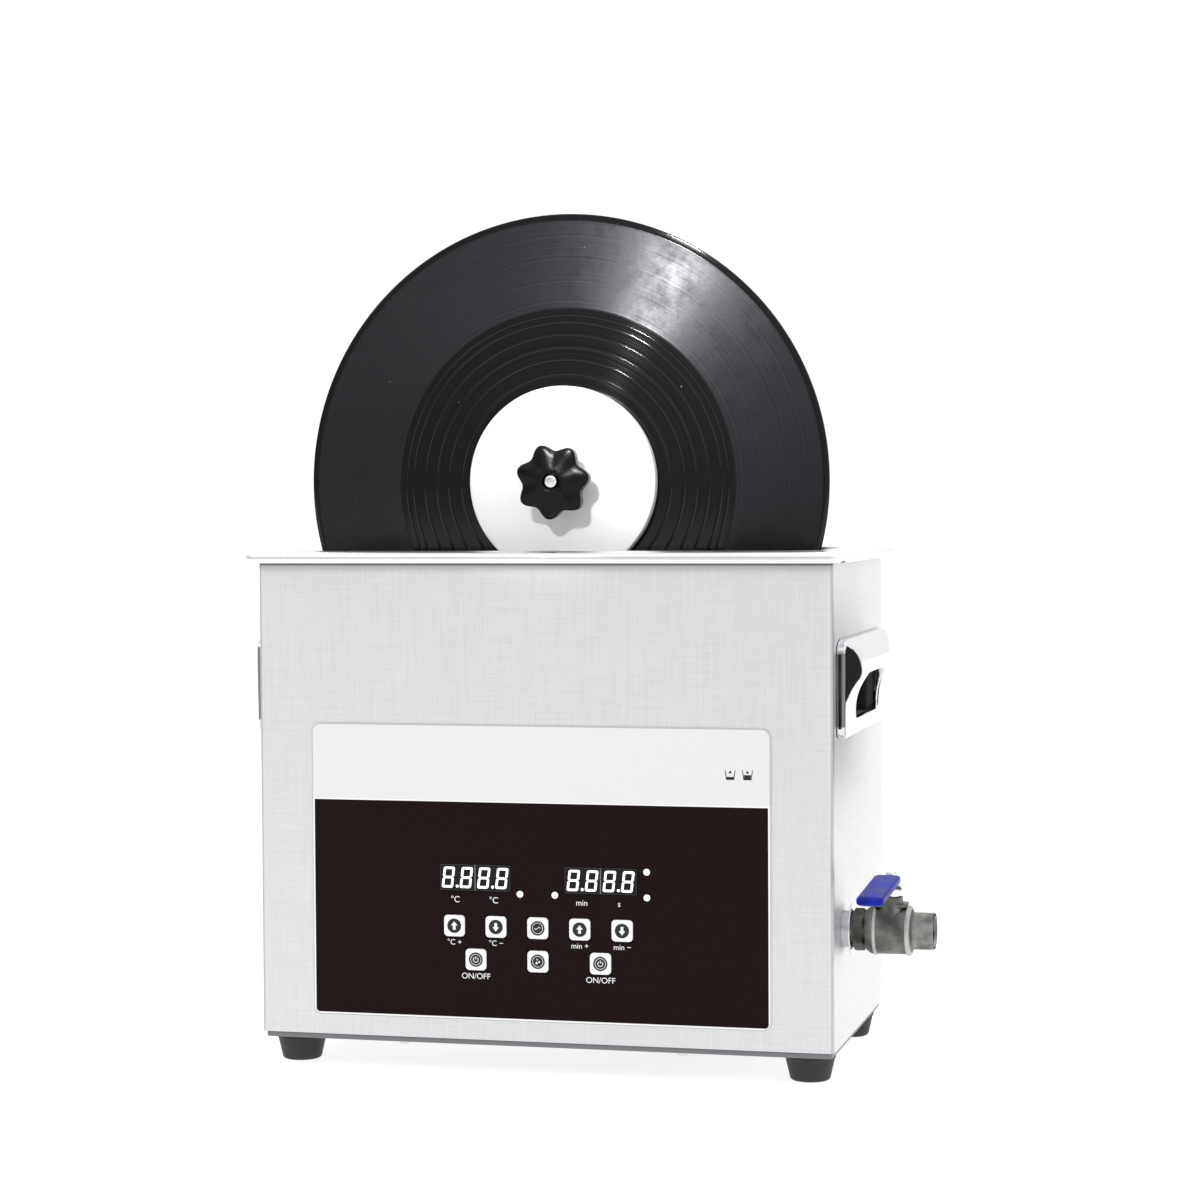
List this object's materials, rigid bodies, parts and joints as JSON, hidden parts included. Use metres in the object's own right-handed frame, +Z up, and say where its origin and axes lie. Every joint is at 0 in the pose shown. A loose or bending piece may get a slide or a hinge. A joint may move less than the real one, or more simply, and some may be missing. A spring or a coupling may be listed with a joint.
{
  "type": "record cleaning machine",
  "caption": "Bench-top ultrasonic bath in a steel casing, with keypad, displays, drain valve and a motor rack that turns a clamped vinyl record on edge in the bath.",
  "frame": {"origin": "middle of the whole machine's box, on the surface that the feet stand on", "axes": "+Z up, -Y out of the front panel towards the user, +X to the user's right, where the drain valve is"},
  "size_m": [0.3862, 0.2821, 0.4764],
  "materials": {
    "brushed_stainless": "satin",
    "polished_stainless": "gloss",
    "cast_stainless": "matte",
    "black_steel": "satin",
    "black_rubber": "matte",
    "printed_film": "satin",
    "key_film": "satin",
    "display_lens": "gloss",
    "black_plastic": "satin",
    "glossy_black_plastic": "gloss",
    "white_acetal": "satin",
    "vinyl": "gloss",
    "blue_vinyl_sleeve": "gloss",
    "circuit_board": "satin",
    "aluminium": "satin",
    "silicone_mat": "matte",
    "bronze": "satin"
  },
  "bodies": {
    "chassis": {"casing": "brushed_stainless", "base_plate": "black_steel", "foot_front_left": "black_rubber", "foot_front_right": "black_rubber", "foot_rear_left": "black_rubber", "foot_rear_right": "black_rubber", "base_screw_left": "polished_stainless", "base_screw_right": "polished_stainless", "tank": "polished_stainless", "panel_film": "printed_film", "display_left": "display_lens", "display_right": "display_lens", "control_board": "circuit_board", "handle_left": "polished_stainless", "handle_right": "polished_stainless", "handle_liner_left": "black_plastic", "handle_liner_right": "black_plastic", "drain_elbow": "polished_stainless", "drain_washer": "polished_stainless", "valve_end_cap": "cast_stainless", "valve_body": "cast_stainless", "packing_nut": "polished_stainless", "heater_pad": "silicone_mat", "transducer_1": "aluminium", "transducer_2": "aluminium", "transducer_3": "aluminium", "driver_board": "circuit_board", "fan_frame": "black_plastic", "power_inlet": "black_plastic", "switch_frame": "black_plastic"},
    "temp_up_key": {"key_temp_up": "key_film"},
    "temp_down_key": {"key_temp_down": "key_film"},
    "mode_key": {"key_mode": "key_film"},
    "time_up_key": {"key_time_up": "key_film"},
    "time_down_key": {"key_time_down": "key_film"},
    "heat_key": {"key_heat": "key_film"},
    "degas_key": {"key_degas": "key_film"},
    "run_key": {"key_run": "key_film"},
    "valve_handle": {"valve_ball": "polished_stainless", "valve_stem": "polished_stainless", "valve_lever": "polished_stainless", "lever_sleeve": "blue_vinyl_sleeve", "lever_nut": "polished_stainless"},
    "fan_wheel": {"fan_rotor": "black_plastic"},
    "mains_rocker": {"switch_rocker": "glossy_black_plastic"},
    "rack": {"rack_saddle": "brushed_stainless", "motor_plate": "brushed_stainless", "gear_motor": "aluminium", "motor_cover": "black_plastic", "spindle_bush": "bronze"},
    "left_thumb_screw": {"thumb_screw_left": "glossy_black_plastic"},
    "right_thumb_screw": {"thumb_screw_right": "glossy_black_plastic"},
    "record_spindle": {"spindle": "polished_stainless", "rear_disc": "white_acetal", "rear_seal": "black_rubber", "record": "vinyl"},
    "clamp": {"front_seal": "black_rubber", "front_disc": "white_acetal", "clamp_washer": "polished_stainless"},
    "knob": {"star_knob": "glossy_black_plastic"}
  },
  "joints": [
    {"name": "press_temp_up", "type": "slide", "parent": "chassis", "child": "temp_up_key", "axis": [0, 1, 0], "range_m": [0, 0.0005], "stiffness_N_per_m": 800},
    {"name": "press_temp_down", "type": "slide", "parent": "chassis", "child": "temp_down_key", "axis": [0, 1, 0], "range_m": [0, 0.0005], "stiffness_N_per_m": 800},
    {"name": "press_mode", "type": "slide", "parent": "chassis", "child": "mode_key", "axis": [0, 1, 0], "range_m": [0, 0.0005], "stiffness_N_per_m": 800},
    {"name": "press_time_up", "type": "slide", "parent": "chassis", "child": "time_up_key", "axis": [0, 1, 0], "range_m": [0, 0.0005], "stiffness_N_per_m": 800},
    {"name": "press_time_down", "type": "slide", "parent": "chassis", "child": "time_down_key", "axis": [0, 1, 0], "range_m": [0, 0.0005], "stiffness_N_per_m": 800},
    {"name": "press_heat", "type": "slide", "parent": "chassis", "child": "heat_key", "axis": [0, 1, 0], "range_m": [0, 0.0005], "stiffness_N_per_m": 800},
    {"name": "press_degas", "type": "slide", "parent": "chassis", "child": "degas_key", "axis": [0, 1, 0], "range_m": [0, 0.0005], "stiffness_N_per_m": 800},
    {"name": "press_run", "type": "slide", "parent": "chassis", "child": "run_key", "axis": [0, 1, 0], "range_m": [0, 0.0005], "stiffness_N_per_m": 800},
    {"name": "valve_turn", "type": "hinge", "parent": "chassis", "child": "valve_handle", "pos_m": [0.16945, -0.06025, 0.081], "axis": [0, 0, 1], "range_deg": [0, 90]},
    {"name": "fan_spin", "type": "hinge", "parent": "chassis", "child": "fan_wheel", "pos_m": [0.06565, 0.0725, 0.056], "axis": [0, 1, 0], "continuous": true},
    {"name": "mains_switch", "type": "hinge", "parent": "chassis", "child": "mains_rocker", "pos_m": [-0.08135, 0.08365, 0.052], "axis": [1, 0, 0], "range_deg": [0, 18]},
    {"name": "rack_lift", "type": "slide", "parent": "chassis", "child": "rack", "axis": [0, 0, 1], "range_m": [0, 0.2]},
    {"name": "left_screw_turn", "type": "hinge", "parent": "rack", "child": "left_thumb_screw", "pos_m": [-0.05935, 0.1, 0.2843], "axis": [0, 1, 0], "range_deg": [0, 720]},
    {"name": "right_screw_turn", "type": "hinge", "parent": "rack", "child": "right_thumb_screw", "pos_m": [0.02065, 0.1, 0.2843], "axis": [0, 1, 0], "range_deg": [0, 720]},
    {"name": "record_spin", "type": "hinge", "parent": "rack", "child": "record_spindle", "pos_m": [-0.01935, 0, 0.3256], "axis": [0, 1, 0], "continuous": true},
    {"name": "clamp_back_off", "type": "slide", "parent": "record_spindle", "child": "clamp", "axis": [0, -1, 0], "range_m": [0, 0.003]},
    {"name": "knob_turn", "type": "hinge", "parent": "clamp", "child": "knob", "pos_m": [-0.01935, -0.054, 0.3256], "axis": [0, -1, 0], "range_deg": [0, 1080]}
  ],
  "couplings": [
    {"joint": "knob_turn", "follows": "clamp_back_off", "rad_per_m": 6283.2}
  ]
}
